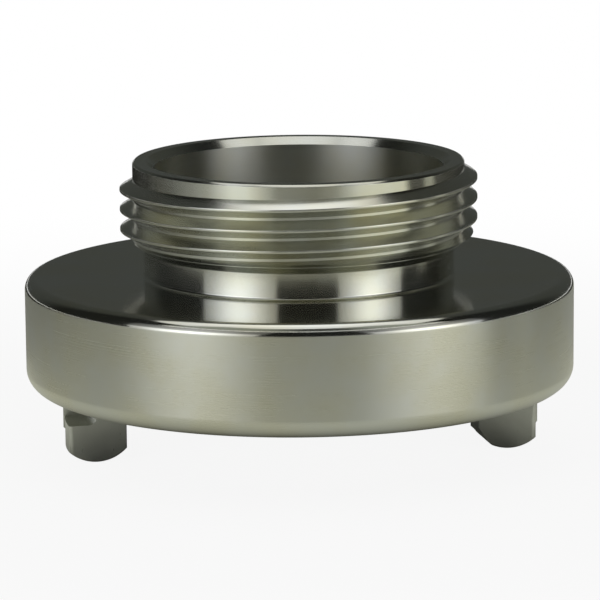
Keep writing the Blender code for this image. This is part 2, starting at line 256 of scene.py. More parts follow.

# Glow of the painted reflection cards: the table's base by radius, all else by the angle to the
# camera's right
# the table card's base paints the floor's shade round the adapter into the metal's reflections,
# darkest at the lugs' feet
TABLE_BASE = [(0.030, 0.05), (0.034, 0.22), (0.041, 0.42), (0.050, 0.58), (0.080, 0.58)]
NEAR_TABLE_END = 0.080
MIDDLE_TABLE_START = 0.085
MIDDLE_TABLE_END = 0.175
FAR_TABLE_START = 0.210
FAN_FADE_START = 0.400
FAN_END = 0.600
FAR_TABLE_LEVEL = 0.022
# painted light of the mirrored floor by side angle; the far fan's levels over 1 are painted highlights
MIDDLE_FAN = [(-180, 0.36), (-138, 0.27), (-110, 0.32), (-90, 0.42), (-64, 0.45), (-52, 0.51),
              (-34, 0.50), (-16, 0.52), (24, 0.50), (36, 0.46), (50, 0.64), (62, 0.63), (76, 0.45),
              (110, 0.40), (180, 0.42)]
MIDDLE_FAN_FADE = [(0.110, 1.0), (0.175, 0.78)]
FAR_FAN = [(-180, 0.02), (-124, 0.02), (-92, 0.10), (-62, 0.42), (-44, 1.15), (-34, 1.15),
           (-14, 0.28), (10, 0.20), (24, 0.35), (40, 0.95), (74, 1.0), (80, 0.04), (91, 0.04),
           (95, 0.45), (101, 0.45), (105, 0.04), (180, 0.02)]
CURTAIN_LEVELS = [(76, 0.018), (120, 0.018), (140, 0.060), (180, 0.068), (220, 0.060), (240, 0.018)]
CAMERA_CARD_LEVEL = 0.015
CEILING_LEVELS = [(-74, 0.40), (-24, 0.34), (2, 0.07), (24, 0.07), (48, 0.38), (74, 0.40)]


def place(r, z, azimuth):
    """The point at a radius, a height and an azimuth in degrees."""
    angle = math.radians(azimuth)
    return Vector((r * math.cos(angle), r * math.sin(angle), z))


def new_object(name, mesh_data):
    """Turn a bmesh into an object of its own, with its faces pointing out."""
    bmesh.ops.recalc_face_normals(mesh_data, faces=mesh_data.faces)
    mesh = bpy.data.meshes.new(name)
    mesh_data.to_mesh(mesh)
    mesh_data.free()
    item = bpy.data.objects.new(name, mesh)
    bpy.context.scene.collection.objects.link(item)
    return item


def rounded(corners):
    """A closed outline from corners (r, z, rounding), each rounded by an arc of its own radius."""
    outline = []
    for number, (r, z, rounding) in enumerate(corners):
        corner = Vector((r, z))
        if rounding == 0:
            outline.append((r, z))
            continue
        before = (Vector(corners[number - 1][:2]) - corner).normalized()
        after = (Vector(corners[(number + 1) % len(corners)][:2]) - corner).normalized()
        half = before.angle(after) / 2
        reach = rounding / math.tan(half)
        centre = corner + (before + after).normalized() * rounding / math.sin(half)
        start = corner + before * reach - centre
        turn = start.angle_signed(corner + after * reach - centre)
        steps = ROUND_STEPS if rounding > SMALL_ROUNDING else SMALL_ROUND_STEPS
        for step in range(steps + 1):
            arm = start.copy()
            arm.rotate(Matrix.Rotation(-turn * step / steps, 2))
            outline.append(tuple(centre + arm))
    return outline


def ring_of(work, section, azimuth):
    """The points of a section (r, z) at an azimuth in degrees."""
    return [work.verts.new(place(r, z, azimuth)) for r, z in section]


def skin(work, rings):
    """Faces from each closed ring of points to the next."""
    for here, there in zip(rings, rings[1:]):
        for point in range(len(here)):
            after = (point + 1) % len(here)
            work.faces.new((here[point], there[point], there[after], here[after]))


def turned(name, outline):
    """A full turn of a closed outline of (r, z) points round the axis."""
    work = bmesh.new()
    rings = [ring_of(work, outline, 360.0 * segment / SEGMENTS) for segment in range(SEGMENTS)]
    skin(work, rings + rings[:1])
    return new_object(name, work)


def capped(name, work, rings):
    """A closed block through the rings, with a flat face at each end."""
    skin(work, rings)
    work.faces.new(rings[0])
    work.faces.new(rings[-1])
    return new_object(name, work)


def sector(name, outline, start, end, steps):
    """Part of a turn of an outline of (r, z) points, between two azimuths in degrees."""
    work = bmesh.new()
    rings = [ring_of(work, outline, start + (end - start) * step / steps) for step in range(steps + 1)]
    return capped(name, work, rings)


def settle(item):
    """Keep what the modifiers made as the object's plain mesh, and drop the modifiers."""
    graph = bpy.context.evaluated_depsgraph_get()
    made = bpy.data.meshes.new_from_object(item.evaluated_get(graph))
    item.modifiers.clear()
    item.data = made


def combine(item, tool, operation):
    """Join a piece to the solid or cut it away, and remove the piece."""
    step = item.modifiers.new(tool.name, "BOOLEAN")
    step.operation = operation
    step.solver = "EXACT"
    step.object = tool
    settle(item)
    bpy.data.objects.remove(tool, do_unlink=True)


def relief_height(radius):
    """Height of the thread relief's cone at a radius."""
    return NECK_TOP_Z + (radius - NECK_RADIUS) / math.tan(math.radians(RELIEF_ANGLE))


def degrees_along(length):
    """Angle in degrees that a length takes up along the circle through the lugs' middles."""
    return math.degrees(length / LUG_MIDDLE_RADIUS)


def calculate(nodes, links, operation, *values):
    """The result of a math node on numbers and other nodes' results."""
    node = nodes.new("ShaderNodeMath")
    node.operation = operation
    for socket, value in zip(node.inputs, values):
        if isinstance(value, float):
            socket.default_value = value
        else:
            links.new(value, socket)
    return node.outputs[0]


def thread_tree():
    """Geometry nodes: a trapezoid ridge swept down a helix."""
    tree = bpy.data.node_groups.new("thread_ridge", "GeometryNodeTree")
    tree.interface.new_socket("Geometry", in_out="OUTPUT", socket_type="NodeSocketGeometry")
    names = ["Crest Radius", "Foot Radius", "Half Crest", "Half Foot", "Rounding", "Pitch", "Turns",
             "Low End Height", "Low End Angle"]
    for name in names:
        tree.interface.new_socket(name, in_out="INPUT", socket_type="NodeSocketFloat")
    tree.interface.new_socket("Steps per Turn", in_out="INPUT", socket_type="NodeSocketInt")
    tree.interface.new_socket("Material", in_out="INPUT", socket_type="NodeSocketMaterial")
    nodes, links = tree.nodes, tree.links
    given = nodes.new("NodeGroupInput").outputs
    result = nodes.new("NodeGroupOutput")

    def vector(**parts):
        node = nodes.new("ShaderNodeCombineXYZ")
        for axis, value in parts.items():
            links.new(value, node.inputs[axis])
        return node.outputs[0]

    helix = nodes.new("GeometryNodeCurveSpiral")
    links.new(given["Steps per Turn"], helix.inputs["Resolution"])
    links.new(given["Turns"], helix.inputs["Rotations"])
    links.new(given["Crest Radius"], helix.inputs["Start Radius"])
    links.new(given["Crest Radius"], helix.inputs["End Radius"])
    height = calculate(nodes, links, "MULTIPLY", given["Turns"], given["Pitch"])
    links.new(height, helix.inputs["Height"])
    helix.inputs["Reverse"].default_value = True
    upright = nodes.new("GeometryNodeSetCurveNormal")
    upright.mode = "Z_UP"
    links.new(helix.outputs["Curve"], upright.inputs["Curve"])

    sunk = calculate(nodes, links, "SUBTRACT", given["Foot Radius"], given["Crest Radius"])
    lower_crest = calculate(nodes, links, "MULTIPLY", given["Half Crest"], -1.0)
    lower_foot = calculate(nodes, links, "MULTIPLY", given["Half Foot"], -1.0)
    section = nodes.new("GeometryNodeCurvePrimitiveQuadrilateral")
    section.mode = "POINTS"
    links.new(vector(Y=given["Half Crest"]), section.inputs["Point 1"])
    links.new(vector(Y=lower_crest), section.inputs["Point 2"])
    links.new(vector(X=sunk, Y=lower_foot), section.inputs["Point 3"])
    links.new(vector(X=sunk, Y=given["Half Foot"]), section.inputs["Point 4"])
    softened = nodes.new("GeometryNodeFilletCurve")
    softened.mode = "POLY"
    softened.inputs["Count"].default_value = 2
    links.new(section.outputs["Curve"], softened.inputs["Curve"])
    links.new(given["Rounding"], softened.inputs["Radius"])

    ridge = nodes.new("GeometryNodeCurveToMesh")
    ridge.inputs["Fill Caps"].default_value = True
    links.new(upright.outputs["Curve"], ridge.inputs["Curve"])
    links.new(softened.outputs["Curve"], ridge.inputs["Profile Curve"])

    outward = nodes.new("GeometryNodeFlipFaces")
    links.new(ridge.outputs["Mesh"], outward.inputs["Mesh"])
    seated = nodes.new("GeometryNodeTransform")
    links.new(outward.outputs["Mesh"], seated.inputs["Geometry"])
    links.new(vector(Z=given["Low End Angle"]), seated.inputs["Rotation"])
    links.new(vector(Z=given["Low End Height"]), seated.inputs["Translation"])
    real = nodes.new("GeometryNodeRealizeInstances")
    links.new(seated.outputs["Geometry"], real.inputs["Geometry"])
    finish = nodes.new("GeometryNodeSetMaterial")
    links.new(real.outputs["Geometry"], finish.inputs["Geometry"])
    links.new(given["Material"], finish.inputs["Material"])
    links.new(finish.outputs["Geometry"], result.inputs["Geometry"])
    return tree


def thread_ridge(material):
    """The helical thread, from its blunt start down to the relief that trims it."""
    half_crest = THREAD_PITCH / 16
    flank = math.tan(math.radians(THREAD_ANGLE / 2))
    foot_radius = THREAD_ROOT_RADIUS - THREAD_SINK
    half_foot = half_crest + (THREAD_CREST_RADIUS - foot_radius) * flank
    start_z = END_Z - THREAD_START_DEPTH
    turns = math.ceil((start_z - NECK_TOP_Z + half_foot) / THREAD_PITCH * SEGMENTS) / SEGMENTS
    ridge = bpy.data.objects.new("thread_ridge", bpy.data.meshes.new("thread_ridge"))
    bpy.context.scene.collection.objects.link(ridge)
    tree = thread_tree()
    sweep = ridge.modifiers.new("thread", "NODES")
    sweep.node_group = tree
    sizes = {
        "Crest Radius": THREAD_CREST_RADIUS,
        "Foot Radius": foot_radius,
        "Half Crest": half_crest,
        "Half Foot": half_foot,
        "Rounding": CREST_ROUNDING,
        "Pitch": THREAD_PITCH,
        "Turns": turns,
        "Low End Height": start_z - turns * THREAD_PITCH,
        "Low End Angle": math.radians(THREAD_START_AZIMUTH - 360.0 * turns),
        "Steps per Turn": SEGMENTS,
        "Material": material,
    }
    for socket in tree.interface.items_tree:
        if socket.in_out == "INPUT":
            sweep[socket.identifier] = sizes[socket.name]
    settle(ridge)
    return ridge


def body_outline():
    """Half section of the turned body, with its small edge breaks."""
    return rounded([
        (BORE_RADIUS, SEAL_SEAT_Z, 0),
        (BORE_RADIUS, END_Z - BORE_CHAMFER, BORE_ROUNDING),
        (BORE_RADIUS + BORE_CHAMFER, END_Z, RIM_ROUNDING),
        (THREAD_ROOT_RADIUS - RIM_CHAMFER, END_Z, RIM_ROUNDING),
        (THREAD_ROOT_RADIUS, END_Z - RIM_CHAMFER, RIM_ROUNDING),
        (THREAD_ROOT_RADIUS, relief_height(THREAD_ROOT_RADIUS), 0),
        (NECK_RADIUS, NECK_TOP_Z, RELIEF_ROUNDING),
        (NECK_RADIUS, FLANGE_TOP_Z, NECK_FILLET),
        (FLANGE_RADIUS, FLANGE_TOP_Z, TOP_EDGE_RADIUS),
        (FLANGE_RADIUS, FACE_Z, BOTTOM_EDGE_RADIUS),
        (LEDGE_RADIUS + EDGE_BREAK, FACE_Z, FACE_ROUNDING),
        (LEDGE_RADIUS, FACE_Z + EDGE_BREAK, FACE_ROUNDING),
        (LEDGE_RADIUS, LEDGE_TOP_Z, LEDGE_ROUNDING),
        (POCKET_RADIUS, LEDGE_TOP_Z, LEDGE_FILLET),
        (POCKET_RADIUS, POCKET_FLOOR_Z, POCKET_FILLET),
        (HUB_RADIUS, POCKET_FLOOR_Z, POCKET_FILLET),
        (HUB_RADIUS, FACE_Z + EDGE_BREAK, FACE_ROUNDING),
        (HUB_RADIUS - EDGE_BREAK, FACE_Z, FACE_ROUNDING),
        (SEAL_MOUTH_RADIUS + SEAL_GAP, FACE_Z, FACE_ROUNDING),
        (SEAL_MOUTH_RADIUS + SEAL_GAP, FACE_Z + SEAL_LIP_DEPTH, 0),
        (SEAL_FOOT_RADIUS + SEAL_GAP, FACE_Z + SEAL_LIP_DEPTH, 0),
        (SEAL_FOOT_RADIUS + SEAL_GAP, SEAL_SEAT_Z, 0),
    ])


def relief_tool():
    """Cutter below the relief's cone, which runs the thread out."""
    inner = THREAD_ROOT_RADIUS - THREAD_SINK - OVERLAP
    outer = THREAD_CREST_RADIUS + OVERLAP
    return turned("thread_relief", [
        (inner, relief_height(inner) + THREAD_RUNOUT_STEP),
        (outer, relief_height(outer) + THREAD_RUNOUT_STEP),
        (outer, FLANGE_TOP_Z - OVERLAP),
        (inner, FLANGE_TOP_Z - OVERLAP),
    ])


def window_tool(number):
    """Cutter for an entry window in the ledge."""
    middle = WINDOW_AZIMUTH + 180.0 * number
    half = degrees_along(LUG_WIDTH / 2 + WINDOW_PLAY)
    outline = [
        (LEDGE_RADIUS - OVERLAP, FACE_Z - OVERLAP),
        (WINDOW_RADIUS, FACE_Z - OVERLAP),
        (WINDOW_RADIUS, LEDGE_TOP_Z + OVERLAP),
        (LEDGE_RADIUS - OVERLAP, LEDGE_TOP_Z + OVERLAP),
    ]
    return sector(f"window_tool_{number}", outline, middle - half, middle + half, WINDOW_STEPS)


def lug_tip():
    """The rounded tip's outline, from the lip to the inner face, with its lowest point at z = 0."""
    middle = LUG_MIDDLE_RADIUS + LUG_TIP_SHIFT
    lip = math.acos((LUG_LIP_RADIUS - middle) / LUG_TIP_RADIUS)
    inner = math.acos((LUG_INNER_RADIUS - middle) / LUG_TIP_RADIUS)
    points = []
    for step in range(TIP_STEPS + 1):
        angle = lip + (inner - lip) * step / TIP_STEPS
        points.append((middle + LUG_TIP_RADIUS * math.cos(angle),
                       LUG_TIP_RADIUS * (1 - math.sin(angle))))
    return points


def rounding_inset(distance, radius):
    """How far a rounded corner has drawn back at a distance from its end."""
    if distance >= radius:
        return 0.0
    return radius - math.sqrt(radius ** 2 - (radius - distance) ** 2)


def inset(outline, distance):
    """The outline of (r, z) points moved inwards by a distance."""
    if distance == 0:
        return outline
    moved = []
    for number, point in enumerate(outline):
        here = Vector(point)
        before = (here - Vector(outline[number - 1])).normalized()
        after = (Vector(outline[(number + 1) % len(outline)]) - here).normalized()
        inward = Vector((before.y + after.y, -before.x - after.x)).normalized()
        reach = distance / max(inward.dot(Vector((before.y, -before.x))), MITRE_LIMIT)
        moved.append(tuple(here + inward * reach))
    return moved


def lug_outline():
    """The lug's section with its post, from the post's top round the tip and back."""
    post_inner = HUB_RADIUS - POST_SINK_IN_HUB
    post_outer = POCKET_RADIUS + POST_SINK_IN_FLANGE
    post_top = POCKET_FLOOR_Z + POST_SINK_IN_PLATE
    outer_side = [
        (post_inner, post_top),
        (post_outer, post_top),
        (post_outer, POST_Z),
        (LUG_STOP_RADIUS, POST_Z),
        (LUG_STOP_RADIUS, STOP_Z + STOP_BEVEL),
        (LUG_LIP_RADIUS, STOP_Z),
    ]
    inner_side = [
        (LUG_INNER_RADIUS, LEAD_HEIGHT),
        (LUG_INNER_RADIUS, POST_Z),
        (post_inner, POST_Z),
    ]
    return outer_side + lug_tip() + inner_side


def lug_ring(outline, from_open, from_stop):
    """The lug's section at distances from its two ends, with rounded edges and the slanted lead."""
    from_end = min(from_open, from_stop)
    lip = LUG_STOP_RADIUS - rounding_inset(from_end, LUG_CORNER_ROUNDING)
    ring = []
    for r, z in inset(outline, rounding_inset(from_end, LUG_EDGE_BREAK)):
        if z < POST_Z and r > lip:
            r = lip
        lead = LUG_INNER_RADIUS + LEAD_SLOPE * (LEAD_HEIGHT - z) - LEAD_FADE * from_stop
        if z < LEAD_HEIGHT and r < lead:
            r = lead
        ring.append((r, z))
    return ring


def lug_stations():
    """Distances from the stop's end at which the lug has a ring, closer together near both ends."""
    near_end = [LUG_CORNER_ROUNDING * (step / END_STEPS) ** 2 for step in range(END_STEPS)]
    middle_length = LUG_WIDTH - 2 * LUG_CORNER_ROUNDING
    middle = [LUG_CORNER_ROUNDING + middle_length * step / MIDDLE_STEPS
              for step in range(MIDDLE_STEPS + 1)]
    return near_end + middle + [LUG_WIDTH - distance for distance in reversed(near_end)]


def hook_tool(number, start, end):
    """Cutter for the hook's groove, which leaves the stop standing."""
    top = POST_Z - HOOK_TOOL_GAP
    outline = [(HOOK_RADIUS, top)]
    for step in range(ROUND_STEPS + 1):
        angle = math.radians(180 + 90 * step / ROUND_STEPS)
        outline.append((HOOK_RADIUS + HOOK_FILLET * (1 + math.cos(angle)),
                        HOOK_Z + HOOK_FILLET * (1 + math.sin(angle))))
    outline += [
        (LUG_LIP_RADIUS, HOOK_Z),
        (LUG_LIP_RADIUS, -OVERLAP),
        (LUG_STOP_RADIUS + OVERLAP, -OVERLAP),
        (LUG_STOP_RADIUS + OVERLAP, top),
    ]
    return sector(f"hook_tool_{number}", outline, start, end, HOOK_STEPS)


def lug(number):
    """A hooked lug with its post, its hook cut open at one end and its end corners rounded."""
    azimuth = 180.0 * number
    half = degrees_along(LUG_WIDTH / 2)
    stop = degrees_along(LUG_STOP_WIDTH)
    outline = lug_outline()
    work = bmesh.new()
    rings = []
    for from_stop in lug_stations():
        turn = azimuth - half + degrees_along(from_stop)
        rings.append(ring_of(work, lug_ring(outline, LUG_WIDTH - from_stop, from_stop), turn))
    block = capped(f"lug_{number}", work, rings)
    combine(block, hook_tool(number, azimuth - half + stop, azimuth + half + stop), "DIFFERENCE")
    return block


def weigh_normals(item):
    """Shade smooth between the real edges, and let the large faces rule the shading."""
    work = bmesh.new()
    work.from_mesh(item.data)
    bmesh.ops.remove_doubles(work, verts=work.verts, dist=MERGE_DISTANCE)
    bmesh.ops.dissolve_degenerate(work, edges=work.edges, dist=MERGE_DISTANCE)
    bmesh.ops.recalc_face_normals(work, faces=work.faces)
    work.to_mesh(item.data)
    work.free()
    item.data.shade_smooth()
    item.data.set_sharp_from_angle(angle=math.radians(SMOOTH_ANGLE))
    weighted = item.modifiers.new("weighted", "WEIGHTED_NORMAL")
    weighted.keep_sharp = True
    settle(item)


def spread_finishes(item, finishes):
    """Give each face the finish of its place on the body."""
    for finish in finishes:
        item.data.materials.append(finish)
    for face in item.data.polygons:
        r = math.hypot(face.center.x, face.center.y)
        z = face.center.z
        if z < FACE_Z - LUG_FINISH_MARGIN and r > HUB_RADIUS:
            face.material_index = LUG_FINISH
        elif r < SEAL_BORE_RADIUS:
            face.material_index = BORE_FINISH
        elif z > FLANGE_TOP_Z + NIPPLE_FINISH_MARGIN:
            face.material_index = NIPPLE_FINISH
        elif z > FLANGE_TOP_Z - TOP_FACING_DEPTH:
            face.material_index = TOP_FINISH
        elif r > FLANGE_RADIUS - BOTTOM_EDGE_RADIUS:
            face.material_index = SIDE_FINISH
        else:
            face.material_index = COUPLING_FINISH


def adapter_body(finishes):
    """The one-piece metal body, turned and milled as the CAD body is, in finer facets."""
    body = turned("adapter_body_turned", body_outline())
    ridge = thread_ridge(finishes[NIPPLE_FINISH])
    combine(ridge, relief_tool(), "DIFFERENCE")
    combine(body, ridge, "UNION")
    for number in range(2):
        combine(body, window_tool(number), "DIFFERENCE")
    for number in range(2):
        combine(body, lug(number), "UNION")
    body.data.materials.clear()
    weigh_normals(body)
    spread_finishes(body, finishes)
    return body


def storz_seal(finish):
    """The rubber ring in the hub, with its rounded sealing lip."""
    face_z = FACE_Z - SEAL_PROUD
    foot_z = FACE_Z + SEAL_LIP_DEPTH + SEAL_GAP
    seal = turned("storz_seal_moulded", rounded([
        (SEAL_MOUTH_RADIUS, face_z, SEAL_BEAD_RADIUS),
        (SEAL_MOUTH_RADIUS, foot_z, SEAL_ROUNDING),
        (SEAL_FOOT_RADIUS, foot_z, SEAL_ROUNDING),
        (SEAL_FOOT_RADIUS, foot_z + SEAL_FOOT_HEIGHT, SEAL_ROUNDING),
        (SEAL_BORE_RADIUS, foot_z + SEAL_FOOT_HEIGHT, SEAL_ROUNDING),
        (SEAL_BORE_RADIUS, face_z, SEAL_BEAD_RADIUS),
    ]))
    seal.data.materials.append(finish)
    weigh_normals(seal)
    return seal


def new_material(name):
    """A material, its Principled shader, its nodes and its links."""
    material = bpy.data.materials.new(name)
    material.use_nodes = True
    tree = material.node_tree
    return material, tree.nodes["Principled BSDF"], tree.nodes, tree.links


def noise(nodes, links, spot, scale, detail=2.0):
    """The grey value of a noise pattern at a spot."""
    pattern = nodes.new("ShaderNodeTexNoise")
    pattern.inputs["Scale"].default_value = scale
    pattern.inputs["Detail"].default_value = detail
    links.new(spot, pattern.inputs["Vector"])
    return pattern.outputs["Fac"]


def carry_over(nodes, links, value, target, source=(0.0, 1.0), change="LINEAR"):
    """The value carried over from the source range to the target range."""
    node = nodes.new("ShaderNodeMapRange")
    node.interpolation_type = change
    node.inputs["From Min"].default_value, node.inputs["From Max"].default_value = source
    node.inputs["To Min"].default_value, node.inputs["To Max"].default_value = target
    links.new(value, node.inputs["Value"])
    return node.outputs["Result"]


def two_tones(nodes, links, value, tones):
    """A colour between two tones, each given as (position, colour)."""
    ramp = nodes.new("ShaderNodeValToRGB")
    for step, (position, colour) in zip(ramp.color_ramp.elements, tones):
        step.position = position
        step.color = (*colour, 1.0)
    links.new(value, ramp.inputs["Fac"])
    return ramp.outputs["Color"]


def bumped(nodes, links, height, strength, depth):
    """The surface's direction, bumped by a height signal."""
    bump = nodes.new("ShaderNodeBump")
    bump.inputs["Strength"].default_value = strength
    bump.inputs["Distance"].default_value = depth
    links.new(height, bump.inputs["Height"])
    return bump.outputs["Normal"]


def turning_marks(nodes, links, spot, pitch):
    """A height signal in fine rings round the axis, on cylinders, cones and faces alike."""
    split = nodes.new("ShaderNodeSeparateXYZ")
    links.new(spot, split.inputs[0])
    x, y, z = split.outputs
    total = calculate(nodes, links, "ADD", calculate(nodes, links, "MULTIPLY", x, x),
                      calculate(nodes, links, "MULTIPLY", y, y))
    radius = calculate(nodes, links, "SQRT", total)
    rings = nodes.new("ShaderNodeTexNoise")
    rings.noise_dimensions = "1D"
    rings.inputs["Scale"].default_value = 1 / pitch
    rings.inputs["Detail"].default_value = MARK_DETAIL
    rings.inputs["Roughness"].default_value = MARK_SHARPNESS
    links.new(calculate(nodes, links, "ADD", radius, z), rings.inputs["W"])
    return rings.outputs["Fac"]


def turned_metal(name, roughness, anisotropy, mark_pitch, mark_depth, mottle):
    """Turned stainless steel: rings left by the tool, with faint patches of duller finish."""
    material, shader, nodes, links = new_material(name)
    shader.inputs["Metallic"].default_value = 1.0
    shader.inputs["Anisotropic"].default_value = anisotropy
    shader.inputs["Anisotropic Rotation"].default_value = RADIAL_HIGHLIGHT
    tangent = nodes.new("ShaderNodeTangent")
    tangent.direction_type = "RADIAL"
    tangent.axis = "Z"
    links.new(tangent.outputs["Tangent"], shader.inputs["Tangent"])

    spot = nodes.new("ShaderNodeTexCoord").outputs["Object"]
    marks = turning_marks(nodes, links, spot, mark_pitch)
    patches = noise(nodes, links, spot, PATCH_SCALE, PATCH_DETAIL)
    patch_part = calculate(nodes, links, "MULTIPLY", patches, PATCH_SHARE)
    blend = calculate(nodes, links, "MULTIPLY_ADD", marks, 1 - PATCH_SHARE, patch_part)
    dullness = carry_over(nodes, links, blend, (roughness * (1 - mottle), roughness * (1 + mottle)),
                          DULLNESS_RANGE)
    links.new(dullness, shader.inputs["Roughness"])

    warm = tuple(level * share for level, share in zip(STEEL, WARM_PATCH))
    tone = two_tones(nodes, links, patches, [(WARM_PATCH_POSITION, warm), (PLAIN_POSITION, STEEL)])
    links.new(tone, shader.inputs["Base Color"])
    links.new(bumped(nodes, links, marks, 1.0, mark_depth), shader.inputs["Normal"])
    return material


def milled_metal(name):
    """Milled stainless steel, with a fine random grain and darker patches."""
    material, shader, nodes, links = new_material(name)
    shader.inputs["Metallic"].default_value = 1.0
    spot = nodes.new("ShaderNodeTexCoord").outputs["Object"]
    stretch = nodes.new("ShaderNodeMapping")
    stretch.inputs["Scale"].default_value = MILLED_STRETCH
    links.new(spot, stretch.inputs["Vector"])
    grain = noise(nodes, links, stretch.outputs["Vector"], MILLED_GRAIN_SCALE, MILLED_GRAIN_DETAIL)
    patches = noise(nodes, links, spot, MILLED_PATCH_SCALE)

    plain = tuple(level * MILLED_SHADE for level in STEEL)
    dark = tuple(level * MILLED_DARK_SHADE for level in plain)
    tone = two_tones(nodes, links, patches, zip(MILLED_TONE_POSITIONS, (dark, plain)))
    links.new(tone, shader.inputs["Base Color"])
    dullness = carry_over(nodes, links, grain, (MILLED_ROUGHNESS * (1 - MILLED_ROUGHNESS_SPREAD),
                                                MILLED_ROUGHNESS * (1 + MILLED_ROUGHNESS_SPREAD)))
    links.new(dullness, shader.inputs["Roughness"])
    normal = bumped(nodes, links, grain, MILLED_GRAIN_STRENGTH, MILLED_GRAIN_DEPTH)
    links.new(normal, shader.inputs["Normal"])
    return material


def moulded_rubber(name):
    """Black moulded rubber with a dusty bloom and a fine grain."""
    material, shader, nodes, links = new_material(name)
    spot = nodes.new("ShaderNodeTexCoord").outputs["Object"]
    grain = noise(nodes, links, spot, RUBBER_GRAIN_SCALE)
    bloom = noise(nodes, links, spot, RUBBER_BLOOM_SCALE, RUBBER_BLOOM_DETAIL)
    links.new(two_tones(nodes, links, bloom, RUBBER_TONES), shader.inputs["Base Color"])
    links.new(carry_over(nodes, links, bloom, RUBBER_ROUGHNESS), shader.inputs["Roughness"])
    normal = bumped(nodes, links, grain, RUBBER_GRAIN_STRENGTH, RUBBER_GRAIN_DEPTH)
    links.new(normal, shader.inputs["Normal"])
    return material


def body_finishes():
    """The body's finishes, in the order of their numbers."""
    return [
        turned_metal("turned_bright_steel", roughness=0.16, anisotropy=0.75, mark_pitch=0.16 * MM,
                     mark_depth=0.0008 * MM, mottle=0.25),
        turned_metal("faced_mirror_steel", roughness=0.13, anisotropy=0.50, mark_pitch=0.20 * MM,
                     mark_depth=0.0004 * MM, mottle=0.20),
        turned_metal("turned_satin_steel", roughness=0.31, anisotropy=0.70, mark_pitch=0.12 * MM,
                     mark_depth=0.0004 * MM, mottle=0.20),
        turned_metal("turned_coupling_steel", roughness=0.24, anisotropy=0.60, mark_pitch=0.22 * MM,
                     mark_depth=0.0020 * MM, mottle=0.25),
        milled_metal("milled_steel"),
        turned_metal("bored_steel", roughness=0.40, anisotropy=0.90, mark_pitch=0.18 * MM,
                     mark_depth=0.0015 * MM, mottle=0.20),
    ]


def toward(side, elevation):
    """Unit vector at an angle to the camera's right, seen from the adapter, and an elevation."""
    azimuth = math.radians(CAMERA_AZIMUTH + side)
    height = math.radians(elevation)
    return Vector((math.cos(azimuth) * math.cos(height), math.sin(azimuth) * math.cos(height),
                   math.sin(height)))


def set_camera():
    """The camera at the photograph's viewing angle, distance and tilt."""
    camera = bpy.data.objects.new("camera", bpy.data.cameras.new("camera"))
    bpy.context.scene.collection.objects.link(camera)
    camera.data.sensor_width = CAMERA_SENSOR
    camera.data.lens = CAMERA_LENS
    aim = toward(90, 0) * AIM_SIDE + Vector((0, 0, AIM_HEIGHT))
    back = toward(0, CAMERA_ELEVATION)
    facing = back.to_track_quat("Z", "Y").to_matrix() @ Matrix.Rotation(-CAMERA_ROLL, 3, "Z")
    camera.matrix_world = Matrix.Translation(aim + back * CAMERA_DISTANCE) @ facing.to_4x4()
    camera.data.clip_start = CAMERA_NEAR
    camera.data.clip_end = CAMERA_FAR
    bpy.context.scene.camera = camera


def background_ray(nodes, links):
    """Light Path's camera, glossy and transmission rays in one value, for what must look white."""
    path = nodes.new("ShaderNodeLightPath").outputs
    first = calculate(nodes, links, "MAXIMUM", path["Is Camera Ray"], path["Is Glossy Ray"])
    return calculate(nodes, links, "MAXIMUM", first, path["Is Transmission Ray"])


def set_world():
    """A white background, and a plain soft fill on the object."""
    world = bpy.data.worlds.new("studio")
    bpy.context.scene.world = world
    world.use_nodes = True
    nodes, links = world.node_tree.nodes, world.node_tree.links
    background = nodes["Background"]
    background.inputs["Color"].default_value = (1.0, 1.0, 1.0, 1.0)
    level = carry_over(nodes, links, background_ray(nodes, links), (WORLD_FILL, 1.0))
    links.new(level, background.inputs["Strength"])


def flat_panel(name, width, height):
    """A flat panel that faces its own +Z."""
    work = bmesh.new()
    corners = [(-1, -1), (1, -1), (1, 1), (-1, 1)]
    work.faces.new([work.verts.new((x * width / 2, y * height / 2, 0)) for x, y in corners])
    return new_object(name, work)


def set_floor():
    """A pale floor that is white in view and still takes the adapter's soft shadow."""
    floor = flat_panel("floor", FLOOR_SIZE, FLOOR_SIZE)
    material, shader, nodes, links = new_material("white_paper")
    shader.inputs["Base Color"].default_value = FLOOR_COLOUR
    shader.inputs["Roughness"].default_value = FLOOR_ROUGHNESS
    shader.inputs["Specular IOR Level"].default_value = 0.0
    glow = nodes.new("ShaderNodeEmission")
    glow.inputs["Strength"].default_value = 1.0
    distance = nodes.new("ShaderNodeVectorMath")
    distance.operation = "LENGTH"
    links.new(nodes.new("ShaderNodeTexCoord").outputs["Object"], distance.inputs[0])
    reach = carry_over(nodes, links, distance.outputs["Value"], (FLOOR_GLOW_SHARE, 1.0),
                       (SHADOW_INNER, SHADOW_OUTER), "SMOOTHSTEP")
    mix = nodes.new("ShaderNodeMixShader")
    share = calculate(nodes, links, "MULTIPLY", background_ray(nodes, links), reach)
    links.new(share, mix.inputs["Fac"])
    links.new(shader.outputs["BSDF"], mix.inputs[1])
    links.new(glow.outputs["Emission"], mix.inputs[2])
    links.new(mix.outputs["Shader"], nodes["Material Output"].inputs["Surface"])
    floor.data.materials.append(material)


def glow_material(name, tint):
    """A surface that glows by its own brightness attribute, and is black where it has none."""
    material, shader, nodes, links = new_material(name)
    nodes.remove(shader)
    level = nodes.new("ShaderNodeAttribute")
    level.attribute_name = "brightness"
    glow = nodes.new("ShaderNodeEmission")
    glow.inputs["Color"].default_value = (*tint, 1.0)
    links.new(level.outputs["Fac"], glow.inputs["Strength"])
    links.new(glow.outputs["Emission"], nodes["Material Output"].inputs["Surface"])
    return material


def between(value, pairs):
    """The level at a value, from pairs (value, level), with an even change between them."""
    if value <= pairs[0][0]:
        return pairs[0][1]
    for (low, low_level), (high, high_level) in zip(pairs, pairs[1:]):
        if value <= high:
            share = (value - low) / (high - low)
            return low_level + (high_level - low_level) * share
    return pairs[-1][1]


